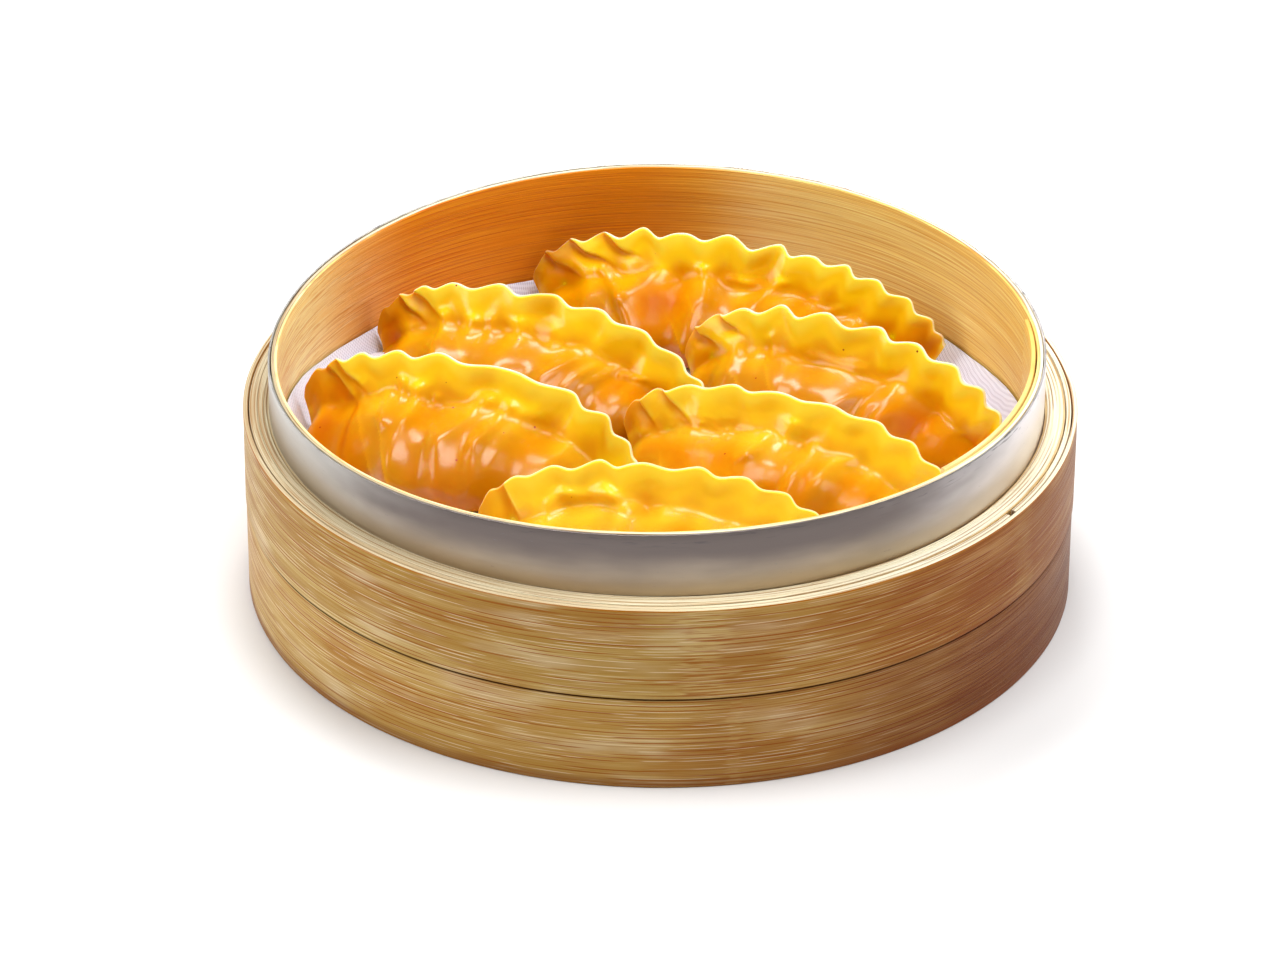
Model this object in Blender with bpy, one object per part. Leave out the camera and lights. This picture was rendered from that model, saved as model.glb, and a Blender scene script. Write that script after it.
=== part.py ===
"""A round bamboo steamer basket with an aluminium rim band, a cotton cloth and six half-moon dumplings.

Run with: blender --background --python part.py
Units are metres, +Z is up, and the origin is the centre of the circle that the basket stands on.
-Y is the side that faces the viewer, and angles are counted from +X towards +Y.
"""

import math
import random

import bmesh
import bpy
from mathutils import Matrix, Vector

MM = 0.001
GAP = 0.3 * MM
RING_STEPS = 72

# The basket's driving sizes.
OUTER_RADIUS = 105.0 * MM
LEDGE_HEIGHT = 49.9 * MM
SEAM_HEIGHT = 25.0 * MM
RIM_HEIGHT = 65.2 * MM
RIM_TILT = 1.3 * MM
RIM_SADDLE = 1.3 * MM

# The wall from the outside in: the wound hoops, the core hoop, the metal band and the inner hoop. The
# inside of the core hoop and all that it holds stand a little off the middle.
WRAP_THICKNESS = 1.2 * MM
CORE_OUTER_RADIUS = OUTER_RADIUS - 2 * (WRAP_THICKNESS + GAP)
CORE_INSET = 0.4 * MM
LOWER_HOOP_INSET = 0.2 * MM
WRAP_STEP_DOWN = 0.25 * MM
CORE_INNER_RADIUS = 97.8 * MM
INNER_CENTRE = Vector((-0.9 * MM, -0.4 * MM, 0.0))
BAND_OUTER_RADIUS = CORE_INNER_RADIUS - GAP
BAND_THICKNESS = 0.5 * MM
BAND_BOTTOM = 44.0 * MM
RIM_STEP = 0.2 * MM
INNER_HOOP_RADIUS = BAND_OUTER_RADIUS - BAND_THICKNESS - GAP
INNER_HOOP_THICKNESS = 1.5 * MM
LAP_THICKNESS = 1.2 * MM
LAP_BOTTOM = 38.7 * MM
LAP_START_DEG = -43.0
LAP_END_DEG = 8.0
LAP_STEPS = 11

# The floor: bars in sockets of the core hoop, with slats across them.
BAR_BOTTOM = 19.8 * MM
BAR_HEIGHT = 7.0 * MM
BAR_WIDTH = 14.0 * MM
BAR_OFFSETS = (-46.0 * MM, 0.0, 46.0 * MM)
SOCKET_DEPTH = 1.8 * MM
SLAT_BOTTOM = BAR_BOTTOM + BAR_HEIGHT + GAP
SLAT_HEIGHT = 2.7 * MM
SLAT_WIDTH = 13.6 * MM
SLAT_PITCH = 17.2 * MM
SLAT_COUNT = 11
SLAT_END_RADIUS = INNER_HOOP_RADIUS - INNER_HOOP_THICKNESS - GAP

# The cloth lies on the slats and turns up along the wall.
CLOTH_BOTTOM = SLAT_BOTTOM + SLAT_HEIGHT + GAP
CLOTH_THICKNESS = 0.9 * MM
CLOTH_RADIUS = INNER_HOOP_RADIUS - INNER_HOOP_THICKNESS - 2 * GAP
CLOTH_TURN_RADIUS = 90.4 * MM
CLOTH_TURN_UP = 4.5 * MM
CLOTH_WAVE = 1.2 * MM
CLOTH_WAVES = 9
CLOTH_STEPS = 54

# Every dumpling: a half-moon with a filled belly and a ruffled seal along its round edge.
REST_HEIGHT = CLOTH_BOTTOM + CLOTH_THICKNESS + GAP
SEAL_WIDTH = 11.0 * MM
SEAL_THICKNESS = 1.8 * MM
GATHER_DEPTH = 1.0 * MM
SEAL_ARCH_LEFT = 0.8
SEAL_ARCH_RIGHT = 1.35
SEAL_END_BLUNTNESS = 0.88
FOLD_SHARE_MIDDLE = 0.62
FOLD_SHARE_ENDS = 0.31
FOLD_HEIGHT = 0.5 * MM
FLATTENED_DEPTH = 1.5 * MM
BELLY_RISE_SHARE = 0.25
BELLY_FALL_SHARE = 0.2
BELLY_FULLNESS = 0.7
BELLY_END_POWER = 0.8
RUFFLE_SKEW = 0.04
RUFFLE_SWAY = 0.45
RUFFLE_STRETCH = 0.85
GATHERS_PER_RUFFLE = 0.62
PLEAT_RETURN = 0.8
PLEAT_WIDTH = 0.09
PLEAT_EDGE = 0.007
DUMPLING_RINGS = 56
DUMPLING_SIDES = 12

# Each dumpling's own sizes in mm: the middle of its crest in plan and its turn in degrees, its length,
# the heights of the crest and of the seal's two ends above the cloth, the depth of the belly before
# and behind the fold line, how far the seal leans back from the fold line, and the ruffles' depth. Then
# come shares of the seal's length from its left end: where each ruffle has its crest, how high those
# rise as shares of the ruffles' depth, and the edge of each pleat of the left end, as its place on the
# seal's edge, its lowest place and the share up from the fold that it reaches down to. Left of that
# edge the seal steps back by the pleat's depth.
DUMPLINGS = {
    "dumpling_back": dict(
        x=20.5, y=67.7, turn=-18.8, length=113.8, crest=28.6, left_end=7.0, right_end=8.0,
        front=13.6, back=10.5, lean=15.0, ruffle=1.5, seed=11,
        crests=(0.11, 0.205, 0.285, 0.365, 0.43, 0.49, 0.55, 0.6, 0.655, 0.715, 0.79, 0.87, 0.94),
        rises=(0.6, 0.6, 0.7, 1.2, 0.4, 1.2, 1.1, 0.4, 0.9, 0.65, 0.7, 0.6, 0.5),
        pleats=((0.105, 0.21, 0.62), (0.2, 0.29, 0.72), (0.285, 0.34, 0.82)), pleat_depth=2.0,
    ),
    "dumpling_left_back": dict(
        x=-30.4, y=37.1, turn=-24.8, length=95.0, crest=28.8, left_end=7.0, right_end=8.0,
        front=17.8, back=9.6, lean=15.0, ruffle=1.1, seed=12,
        crests=(0.08, 0.17, 0.26, 0.335, 0.435, 0.515, 0.595, 0.69, 0.79, 0.89),
        rises=(0.5, 0.6, 0.6, 0.7, 1.2, 1.1, 0.9, 0.7, 0.7, 0.9),
        pleats=((0.165, 0.25, 0.68), (0.225, 0.31, 0.7)), pleat_depth=1.8,
    ),
    "dumpling_right_mid": dict(
        x=47.4, y=21.3, turn=-28.6, length=92.2, crest=30.0, left_end=8.0, right_end=9.0,
        front=13.7, back=8.8, lean=14.0, ruffle=1.3, seed=13,
        crests=(0.1, 0.2, 0.29, 0.385, 0.47, 0.55, 0.625, 0.715, 0.8, 0.885),
        rises=(0.5, 0.4, 0.5, 1.3, 1.1, 1.1, 0.8, 0.9, 0.9, 0.7),
        pleats=((0.1, 0.205, 0.68), (0.22, 0.28, 0.8)), pleat_depth=1.8,
    ),
    "dumpling_left_front": dict(
        x=-48.0, y=0.7, turn=-20.5, length=90.8, crest=29.4, left_end=10.0, right_end=8.0,
        front=20.4, back=10.5, lean=15.0, ruffle=1.0, seed=14,
        crests=(0.12, 0.21, 0.29, 0.375, 0.455, 0.56, 0.69, 0.785, 0.885),
        rises=(0.6, 0.7, 0.9, 1.0, 1.2, 0.3, 1.1, 1.3, 0.8),
        pleats=((0.17, 0.27, 0.58), (0.21, 0.3, 0.66)), pleat_depth=1.5,
    ),
    "dumpling_right_front": dict(
        x=31.7, y=-11.6, turn=-22.4, length=87.8, crest=26.9, left_end=9.0, right_end=8.0,
        front=16.2, back=9.0, lean=14.0, ruffle=0.9, seed=15,
        crests=(0.1, 0.21, 0.31, 0.41, 0.49, 0.57, 0.67, 0.76, 0.87),
        rises=(0.6, 0.9, 0.5, 1.0, 0.6, 0.5, 0.9, 1.0, 1.0),
        pleats=((0.14, 0.2, 0.6), (0.235, 0.31, 0.64)), pleat_depth=1.4,
    ),
    "dumpling_front": dict(
        x=0.0, y=-47.8, turn=-9.0, length=91.0, crest=27.2, left_end=7.0, right_end=7.0,
        front=19.0, back=10.5, lean=13.0, ruffle=0.95, seed=16,
        crests=(0.12, 0.215, 0.315, 0.41, 0.48, 0.555, 0.635, 0.725, 0.81, 0.9),
        rises=(0.5, 0.5, 0.8, 1.3, 0.6, 1.0, 0.9, 0.9, 0.8, 0.6),
        pleats=((0.18, 0.2, 0.58),), pleat_depth=1.6,
    ),
}

# Colours in linear light, roughness and metallic value of each finish.
BAMBOO = ("bamboo", (0.56, 0.36, 0.15), 0.55, 0.0)
PALE_BAMBOO = ("bamboo_edge", (0.72, 0.58, 0.33), 0.6, 0.0)
ALUMINIUM = ("aluminium", (0.62, 0.62, 0.63), 0.42, 1.0)
COTTON = ("cotton", (0.84, 0.78, 0.78), 0.95, 0.0)
DOUGH = ("dumpling_skin", (0.90, 0.42, 0.02), 0.22, 0.0)


def clear_scene():
    for old in list(bpy.data.objects):
        bpy.data.objects.remove(old)


def material(finish):
    """The Principled material of one finish, made once."""
    name, colour, roughness, metallic = finish
    made = bpy.data.materials.get(name)
    if made is None:
        made = bpy.data.materials.new(name)
        made.use_nodes = True
        shader = made.node_tree.nodes["Principled BSDF"]
        shader.inputs["Base Color"].default_value = (*colour, 1.0)
        shader.inputs["Roughness"].default_value = roughness
        shader.inputs["Metallic"].default_value = metallic
    return made


def add_object(name, shape, finish, sharp_deg=35.0):
    """Turns a bmesh into a named object with smooth faces and sharp corners."""
    bmesh.ops.recalc_face_normals(shape, faces=shape.faces)
    mesh = bpy.data.meshes.new(name)
    shape.to_mesh(mesh)
    shape.free()
    mesh.shade_smooth()
    mesh.set_sharp_from_angle(angle=math.radians(sharp_deg))
    mesh.materials.append(material(finish))
    made = bpy.data.objects.new(name, mesh)
    bpy.context.scene.collection.objects.link(made)
    return made


def spun(outline, steps, closed=True, start_deg=0.0, end_deg=360.0):
    """Spins an outline of (radius, height) points round the Z axis, and caps the ends of a part turn."""
    shape = bmesh.new()
    points = [shape.verts.new((radius, 0.0, height)) for radius, height in outline]
    pairs = list(zip(points, points[1:]))
    if closed:
        pairs.append((points[-1], points[0]))
    edges = [shape.edges.new(pair) for pair in pairs]
    start = Matrix.Rotation(math.radians(start_deg), 3, "Z")
    bmesh.ops.rotate(shape, verts=points, cent=(0, 0, 0), matrix=start)
    full = end_deg - start_deg >= 360.0
    bmesh.ops.spin(
        shape,
        geom=points + edges,
        cent=(0, 0, 0),
        axis=(0, 0, 1),
        angle=math.radians(end_deg - start_deg),
        steps=steps,
        use_merge=full,
    )
    bmesh.ops.remove_doubles(shape, verts=shape.verts, dist=0.001 * MM)
    if not full:
        bmesh.ops.holes_fill(shape, edges=[edge for edge in shape.edges if edge.is_boundary])
    return shape


def hoop(name, outer, inner, heights, finish, offsets=((0, 0, 0), (0, 0, 0)), **part_turn):
    """A hoop of rectangular section, whose outer and inner face may each stand off the middle."""
    bottom, top = heights
    outline = ((outer, bottom), (outer, top), (inner, top), (inner, bottom))
    shape = spun(outline, part_turn.pop("steps", RING_STEPS), **part_turn)
    for point in shape.verts:
        on_outer = math.hypot(point.co.x, point.co.y) > (outer + inner) / 2
        point.co += Vector(offsets[0] if on_outer else offsets[1])
        point.co.z += rim_warp(point.co)
    return add_object(name, shape, finish)


def rim_warp(place):
    """How far the handmade rim stands off its even height, growing from the ledge upwards."""
    share = max(0.0, (place.z - LEDGE_HEIGHT) / (RIM_HEIGHT - LEDGE_HEIGHT))
    around = math.atan2(place.y, place.x)
    return share * (RIM_TILT * math.cos(around) - RIM_SADDLE * math.cos(2 * around))


def box(size, centre):
    shape = bmesh.new()
    bmesh.ops.create_cube(shape, size=1.0)
    bmesh.ops.scale(shape, vec=size, verts=shape.verts)
    bmesh.ops.translate(shape, vec=centre, verts=shape.verts)
    return shape


def make_wall():
    """The wound hoops, the core hoop with the bars' sockets, and the inner hoop with its band."""
    core_heights = (CORE_INSET, LEDGE_HEIGHT - CORE_INSET)
    core_offsets = ((0, 0, 0), INNER_CENTRE)
    core = hoop("core_hoop", CORE_OUTER_RADIUS, CORE_INNER_RADIUS, core_heights, PALE_BAMBOO, core_offsets)
    for number, offset in enumerate(BAR_OFFSETS):
        cutter = add_object(f"socket_cutter_{number}", bar_shape(offset, GAP), PALE_BAMBOO)
        cutter.hide_render = True
        cutter.display_type = "WIRE"
        cut = core.modifiers.new(f"socket_{number}", "BOOLEAN")
        cut.operation = "DIFFERENCE"
        cut.object = cutter
    lower_heights = (0.0, SEAM_HEIGHT - GAP / 2)
    hoop("lower_hoop", OUTER_RADIUS - LOWER_HOOP_INSET, CORE_OUTER_RADIUS + GAP, lower_heights, BAMBOO)
    for turn, name in enumerate(("upper_hoop", "upper_hoop_inner_wrap")):
        outer = OUTER_RADIUS - turn * (WRAP_THICKNESS + GAP)
        heights = (SEAM_HEIGHT + GAP / 2, LEDGE_HEIGHT - turn * WRAP_STEP_DOWN)
        hoop(name, outer, outer - WRAP_THICKNESS, heights, BAMBOO)
    inside = (INNER_CENTRE, INNER_CENTRE)
    band_inner = BAND_OUTER_RADIUS - BAND_THICKNESS
    hoop("rim_band", BAND_OUTER_RADIUS, band_inner, (BAND_BOTTOM, RIM_HEIGHT), ALUMINIUM, inside)
    hoop_inner = INNER_HOOP_RADIUS - INNER_HOOP_THICKNESS
    hoop_heights = (SLAT_BOTTOM, RIM_HEIGHT - RIM_STEP)
    hoop("inner_hoop", INNER_HOOP_RADIUS, hoop_inner, hoop_heights, BAMBOO, inside)
    hoop(
        "inner_hoop_lap",
        hoop_inner - GAP,
        hoop_inner - GAP - LAP_THICKNESS,
        (LAP_BOTTOM, RIM_HEIGHT + RIM_STEP),
        BAMBOO,
        inside,
        steps=LAP_STEPS,
        start_deg=LAP_START_DEG,
        end_deg=LAP_END_DEG,
    )


def bar_shape(offset, clearance):
    """A floor bar across the basket, as long as its chord allows, or its socket with some clearance."""
    far_edge = abs(offset) + BAR_WIDTH / 2 + clearance
    reach = math.sqrt((CORE_INNER_RADIUS + SOCKET_DEPTH) ** 2 - far_edge**2) + clearance
    size = (BAR_WIDTH + 2 * clearance, 2 * reach, BAR_HEIGHT + 2 * clearance)
    return box(size, INNER_CENTRE + Vector((offset, 0.0, BAR_BOTTOM + BAR_HEIGHT / 2)))


def make_floor():
    """Three bars along Y and a row of slats along X on top of them."""
    for number, offset in enumerate(BAR_OFFSETS):
        add_object(f"floor_bar_{number + 1}", bar_shape(offset, 0.0), PALE_BAMBOO)
    for number in range(SLAT_COUNT):
        offset = (number - (SLAT_COUNT - 1) / 2) * SLAT_PITCH
        far_edge = abs(offset) + SLAT_WIDTH / 2
        reach = math.sqrt(SLAT_END_RADIUS**2 - far_edge**2)
        size = (2 * reach, SLAT_WIDTH, SLAT_HEIGHT)
        shape = box(size, INNER_CENTRE + Vector((0.0, offset, SLAT_BOTTOM + SLAT_HEIGHT / 2)))
        add_object(f"floor_slat_{number + 1:02d}", shape, PALE_BAMBOO)


def smooth_step(low, high, value):
    share = min(1.0, max(0.0, (value - low) / (high - low)))
    return share * share * (3.0 - 2.0 * share)


def cloth_lift(place):
    """Height of the cloth above its flat middle: turned up at the wall, in shallow waves."""
    radius = math.hypot(place.x, place.y)
    around = math.atan2(place.y, place.x)
    turn = smooth_step(CLOTH_TURN_RADIUS, CLOTH_RADIUS, radius)
    wave = math.sin(CLOTH_WAVES * around) + 0.6 * math.sin((CLOTH_WAVES // 2) * around + 1.0)
    return turn * turn * CLOTH_TURN_UP + turn * CLOTH_WAVE * (1.0 + wave / 1.6)


def make_cloth():
    radii = [CLOTH_TURN_RADIUS * share for share in (0.5, 1.0)]
    turned_up = CLOTH_RADIUS - CLOTH_TURN_RADIUS
    radii += [CLOTH_TURN_RADIUS + turned_up * share for share in (0.4, 0.7, 0.9, 1.0)]
    top = CLOTH_BOTTOM + CLOTH_THICKNESS
    upper = [(0.0, top)] + [(radius, top) for radius in radii]
    lower = [(radius, CLOTH_BOTTOM) for radius in reversed(radii)] + [(0.0, CLOTH_BOTTOM)]
    shape = spun(upper + lower, CLOTH_STEPS, closed=False)
    for point in shape.verts:
        point.co += Vector((0.0, 0.0, cloth_lift(point.co))) + INNER_CENTRE
    add_object("steaming_cloth", shape, COTTON, sharp_deg=60.0)


def signed_power(value, power):
    return math.copysign(abs(value) ** power, value)


class Ruffles:
    """Waves along a seal with a crest at each of the given shares of its length, of uneven depth."""

    def __init__(self, seed, crests, rises, depth):
        self.crests = crests
        self.rises = (rises[0], *rises, rises[-1], rises[-1])
        self.depth = depth
        self.phase = random.Random(seed).uniform(0.0, 1.0)

    def turns(self, share):
        """Turns of the wave since the first crest: a whole number at each crest."""
        number = sum(crest < share for crest in self.crests[1:-1])
        gap = self.crests[number + 1] - self.crests[number]
        return number + (share - self.crests[number]) / gap

    def gather(self, share):
        """Depth of the belly's folds that run down from the seal, from -1 to 1."""
        ends = min(1.0, 6.0 * share, 6.0 * (1.0 - share))
        return ends * math.sin(2 * math.pi * (GATHERS_PER_RUFFLE * self.turns(share) + self.phase))

    def at(self, share):
        """Height of the wave at a share of the seal's length: positive where the edge stands up."""
        turns = self.turns(share)
        number = max(-1, math.floor(turns))
        blend = smooth_step(0.0, 1.0, turns - number)
        size = self.rises[number + 1] * (1 - blend) + self.rises[number + 2] * blend
        turns += RUFFLE_SKEW * (1 - math.cos(2 * math.pi * turns))
        return self.depth * size * math.cos(2 * math.pi * turns)


class Dumpling:
    """One half-moon dumpling that stands on its fold, its belly towards -Y and its seal leaning back.

    Its own frame has X along its length and Z up from the cloth, with the seal's crest over the origin.
    """

    def __init__(
        self,
        length,
        crest,
        left_end,
        right_end,
        front,
        back,
        lean,
        ruffle,
        seed,
        crests,
        rises,
        pleats,
        pleat_depth,
    ):
        self.half = length * MM / 2
        self.crest = crest * MM
        self.ends = (left_end * MM, right_end * MM)
        self.front = front * MM
        self.back = back * MM
        self.lean = lean * MM
        self.ruffles = Ruffles(seed, crests, rises, ruffle * MM)
        self.pleats = pleats
        self.pleat_depth = pleat_depth * MM

    def seal_edge(self, along):
        """A point of the seal's outer edge before it is ruffled, at a share along from the left end."""
        angle = math.pi * along
        arch = SEAL_ARCH_LEFT * (1 - along) + SEAL_ARCH_RIGHT * along
        rise = max(0.0, math.sin(angle)) ** arch
        end = self.ends[0] * (1 - along) + self.ends[1] * along
        x = -self.half * signed_power(math.cos(angle), SEAL_END_BLUNTNESS)
        return Vector((x, 0.0, end + (self.crest - end) * rise))

    def fold(self, along):
        """The matching point of the fold line, on the cloth, spread like a fan towards the seal."""
        angle = math.pi * along
        cosine = math.cos(angle)
        x = -self.half * cosine * (FOLD_SHARE_MIDDLE + FOLD_SHARE_ENDS * cosine * cosine)
        y = -self.lean * max(0.0, math.sin(angle)) ** BELLY_END_POWER
        return Vector((x, y, FOLD_HEIGHT))

    def belly(self, along, share, front):
        """Half thickness at a share of the way from fold to seal, of the filled part and the skin."""
        chord = (self.seal_edge(along) - self.fold(along)).length
        seal_base = 1.0 - SEAL_WIDTH / max(chord, 1.3 * SEAL_WIDTH)
        depth = (self.front if front else self.back) * max(0.0, math.sin(math.pi * along)) ** BELLY_END_POWER
        rise = math.sqrt(1.0 - (1.0 - min(share / BELLY_RISE_SHARE, 1.0)) ** 2)
        fall = 1.0 - smooth_step(BELLY_FALL_SHARE, seal_base, share)
        thin = math.sqrt(min(1.0, (1.0 - share) / 0.02)) * min(1.0, math.sqrt(share / 0.05))
        gather = GATHER_DEPTH * self.ruffles.gather(along) * rise * smooth_step(0.9, 0.5, share)
        return depth * rise * fall**BELLY_FULLNESS + gather + SEAL_THICKNESS / 2 * thin

    def pleat(self, along, share):
        """How far the seal's pleats step back at a place, one behind another towards the left end."""
        total = 0.0
        for top, low, low_share in self.pleats:
            edge = top + (low - top) * (1.0 - share) / (1.0 - low_share)
            left = edge - along
            step = smooth_step(-PLEAT_EDGE, PLEAT_EDGE, left)
            step *= smooth_step(low_share - 0.1, low_share + 0.05, share)
            total += self.pleat_depth * step * (1.0 - PLEAT_RETURN * smooth_step(0.0, PLEAT_WIDTH, left))
        return total

    def point(self, along, turn):
        """The surface point at a share along the length and an angle round the section, from the fold."""
        share = (1.0 - math.cos(turn)) / 2
        fold = self.fold(along)
        line = self.seal_edge(along) - fold
        tilt = math.atan2(line.y, line.z) * smooth_step(0.0, 0.6, share)
        outward = Vector((0.0, -math.cos(tilt), math.sin(tilt)))
        front = math.sin(turn) >= 0.0
        side = 1.0 if front else -1.0
        place = fold + line * share + outward * side * self.belly(along, share, front)
        lift = self.ruffles.at(along)
        seal_base = 1.0 - 1.15 * SEAL_WIDTH / max(line.length, 1.3 * SEAL_WIDTH)
        loose = smooth_step(seal_base, 1.0, share) * min(1.0, 8.0 * along, 8.0 * (1.0 - along))
        sway = (RUFFLE_SWAY * lift + self.pleat(along, share)) * loose
        place += line.normalized() * RUFFLE_STRETCH * lift * loose - outward * sway
        place.z = max(place.z - FLATTENED_DEPTH, 0.0)
        return place


def make_dumplings():
    for name, sizes in DUMPLINGS.items():
        x, y, turn = (sizes[key] for key in ("x", "y", "turn"))
        form = Dumpling(**{key: size for key, size in sizes.items() if key not in ("x", "y", "turn")})
        shape = bmesh.new()
        bmesh.ops.create_uvsphere(shape, u_segments=DUMPLING_SIDES, v_segments=DUMPLING_RINGS, radius=1.0)
        for point in shape.verts:
            along = math.acos(max(-1.0, min(1.0, point.co.z))) / math.pi
            at_end = math.hypot(point.co.x, point.co.y) < 1e-4
            angle = math.pi / 2 if at_end else math.atan2(point.co.y, point.co.x) % (2 * math.pi)
            point.co = form.point(along, angle)
        turned = Matrix.Rotation(math.radians(turn), 4, "Z")
        placed = Matrix.Translation((x * MM, y * MM, REST_HEIGHT)) @ turned
        bmesh.ops.transform(shape, matrix=placed, verts=shape.verts)
        bmesh.ops.triangulate(shape, faces=shape.faces)
        add_object(name, shape, DOUGH, sharp_deg=180.0)


clear_scene()
make_wall()
make_floor()
make_cloth()
make_dumplings()
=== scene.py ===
"""Looks of a round bamboo steamer basket with its cloth and six half-moon dumplings.

Run in Blender 4.5. Units are metres, +Z is up, and -Y is the side that faces the viewer.
"""

import math
import random
from functools import lru_cache

import bmesh
import bpy
from mathutils import Matrix, Vector, noise


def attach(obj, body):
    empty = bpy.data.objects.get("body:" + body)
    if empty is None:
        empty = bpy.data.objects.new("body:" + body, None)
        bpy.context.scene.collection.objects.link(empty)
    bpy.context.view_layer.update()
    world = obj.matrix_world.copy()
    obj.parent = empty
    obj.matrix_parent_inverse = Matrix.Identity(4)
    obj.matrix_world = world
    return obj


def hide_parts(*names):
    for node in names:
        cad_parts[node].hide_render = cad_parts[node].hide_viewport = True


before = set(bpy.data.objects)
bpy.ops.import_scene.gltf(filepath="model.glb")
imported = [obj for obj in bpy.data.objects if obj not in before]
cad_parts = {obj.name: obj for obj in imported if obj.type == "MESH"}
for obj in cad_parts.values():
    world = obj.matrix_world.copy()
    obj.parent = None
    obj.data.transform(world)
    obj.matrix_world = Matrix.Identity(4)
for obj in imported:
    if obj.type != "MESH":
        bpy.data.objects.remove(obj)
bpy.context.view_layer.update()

# The core hoop: one long strip of split bamboo, wound several times round a former. The floor
# bars sit in its sockets, and the upper edges of its turns make the ledge, pale where the saw cut
# them.
MM = 0.001
RING_STEPS = 360
INNER_CENTRE = Vector((-0.9, -0.4, 0.0)) * MM
LEDGE_HEIGHT = 49.9
RIM_HEIGHT = 65.2
RIM_TILT = 1.3
RIM_SADDLE = 1.3
CORE_TOP = 49.5
EDGES_OUTER = 101.9
EDGES_INNER = 97.9
EDGES_RISE = 0.38
EDGES_EASE = 0.15
EDGES_EASED_RISE = 0.25
GROOVES = (101.0, 99.35, 98.6)
GROOVE_RISE = 0.05
GROOVE_HALF_WIDTH = 0.14
SCREEN_GAMMA = 2.2
SAME_PLACE = 0.001
SHARP_ANGLE = 40.0
SLOW_SWAY = 2.2
QUICK_SWAY = 7.0
QUICK_SWAY_CLIMB = 40.0
FLAT_FOOT = 20.0


class Wire:
    """One output in a material's node tree, on which arithmetic in Python adds the nodes for it."""

    def __init__(self, tree, socket=None):
        self.tree = tree
        self.socket = socket

    def add(self, kind, settings=None, inputs=None, output=0):
        """Adds any other node, sets it first, and then gives its inputs their values or links."""
        node = self.tree.nodes.new(f"ShaderNode{kind}")
        for name, value in (settings or {}).items():
            setattr(node, name, value)
        for name, value in (inputs or {}).items():
            if isinstance(value, Wire):
                self.tree.links.new(value.socket, node.inputs[name])
            else:
                node.inputs[name].default_value = value
        return Wire(self.tree, node.outputs[output])

    def reckon(self, operation, *others):
        """Adds a Math node with this wire as its first value."""
        return self.add("Math", {"operation": operation}, dict(enumerate((self, *others))))

    def __add__(self, other):
        return self.reckon("ADD", other)

    def __radd__(self, other):
        return self.reckon("ADD", other)

    def __sub__(self, other):
        return self.reckon("SUBTRACT", other)

    def __rsub__(self, other):
        return self * -1.0 + other

    def __mul__(self, other):
        return self.reckon("MULTIPLY", other)

    def __rmul__(self, other):
        return self.reckon("MULTIPLY", other)

    def step(self, low, high):
        """A soft step from 0 at low to 1 at high."""
        inputs = {"Value": self, "From Min": low, "From Max": high}
        return self.add("MapRange", {"interpolation_type": "SMOOTHSTEP"}, inputs)

    def parts(self):
        """The three parts of a place: x, y and z."""
        return [self.add("SeparateXYZ", None, {0: self}, output=axis) for axis in range(3)]

    def mix(self, first, second, blend="MIX"):
        """Blends two colours, with this wire as the share of the second one."""
        settings = {"data_type": "RGBA", "blend_type": blend}
        return self.add("Mix", settings, {0: self, 6: first, 7: second}, output=2)

    def grain(self, scale, detail=2.0, roughness=0.5, output=0, **inputs):
        """Noise on this place, with a scale for each axis in turns per millimetre."""
        stretched = self.add("VectorMath", {"operation": "MULTIPLY"}, {0: self, 1: scale})
        values = {"Vector": stretched, "Scale": 1.0, "Detail": detail, "Roughness": roughness}
        return self.add("TexNoise", None, {**values, **inputs}, output=output)


def colour(red, green, blue):
    """A colour in linear light from its values on a screen, 0 to 255."""
    return tuple((value / 255) ** SCREEN_GAMMA for value in (red, green, blue)) + (1.0,)


def angle_of(parts):
    """The angle round the basket in degrees, from -180 to 180, of a place given in parts."""
    return parts[1].reckon("ARCTAN2", parts[0]) * (180 / math.pi)


def start_material(name, roughness, metallic=0.0):
    """A new material, its shader and the place on the piece in mm."""
    made = bpy.data.materials.new(name)
    made.use_nodes = True
    shader = made.node_tree.nodes["Principled BSDF"]
    shader.inputs["Roughness"].default_value = roughness
    shader.inputs["Metallic"].default_value = metallic
    blank = Wire(made.node_tree)
    place = blank.add("TexCoord", output=3)
    place = place.add("VectorMath", {"operation": "SCALE"}, {0: place, "Scale": 1.0 / MM})
    return made, shader, place


def feed(wire, shader, name):
    """Links a wire to one of the shader's inputs."""
    wire.tree.links.new(wire.socket, shader.inputs[name])


def bump(height, shader, distance):
    """Relief from a height of 0 to 1, with its full depth in mm."""
    inputs = {"Strength": 1.0, "Distance": distance * MM, "Height": height}
    feed(height.add("Bump", None, inputs), shader, "Normal")


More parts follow.
